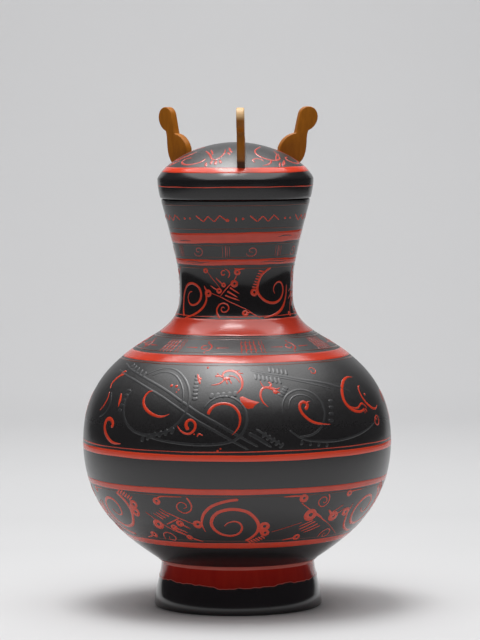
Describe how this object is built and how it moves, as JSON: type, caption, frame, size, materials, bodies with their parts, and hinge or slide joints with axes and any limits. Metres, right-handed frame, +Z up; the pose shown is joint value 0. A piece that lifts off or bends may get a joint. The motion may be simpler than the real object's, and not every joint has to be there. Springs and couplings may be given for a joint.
{
  "type": "lidded jar",
  "caption": "Lidded round-bellied jar of turned, lapped wooden sections in black and red lacquer, with a flared foot, a narrow neck, a plug lid and S-shaped finials.",
  "frame": {"origin": "centre of the foot's flat underside, on the jar's axis", "axes": "+Z up along the jar's axis, -Y towards the front that the picture shows, +X to its right"},
  "size_m": [0.35, 0.35, 0.566],
  "materials": {
    "black_lacquer": "polished black lacquer over a turned wooden core, with painted red bands",
    "red_lacquer": "polished red lacquer over wood",
    "ochre_lacquer": "satin ochre-gold lacquer over wood",
    "bamboo": "bare split bamboo"
  },
  "bodies": {
    "jar": {"foot_ring": "black_lacquer", "belly_lower": "black_lacquer", "floor_disc": "red_lacquer", "belly_upper": "black_lacquer", "neck": "black_lacquer", "mouth_ring": "black_lacquer"},
    "lid_plug": {"lid_plug_ring": "red_lacquer"},
    "lid": {"lid_rim": "black_lacquer", "lid_dome": "black_lacquer", "finial_front": "ochre_lacquer", "finial_right": "ochre_lacquer", "finial_left": "ochre_lacquer", "finial_front_peg_inner": "bamboo", "finial_front_peg_outer": "bamboo", "finial_right_peg_inner": "bamboo", "finial_right_peg_outer": "bamboo", "finial_left_peg_inner": "bamboo", "finial_left_peg_outer": "bamboo"}
  },
  "joints": [
    {"name": "lid_lift", "type": "slide", "parent": "jar", "child": "lid_plug", "axis": [0, 0, 1], "range_m": [0, 0.12]},
    {"name": "lid_turn", "type": "hinge", "parent": "lid_plug", "child": "lid", "pos_m": [0, 0, 0.47], "axis": [0, 0, 1], "continuous": true}
  ]
}
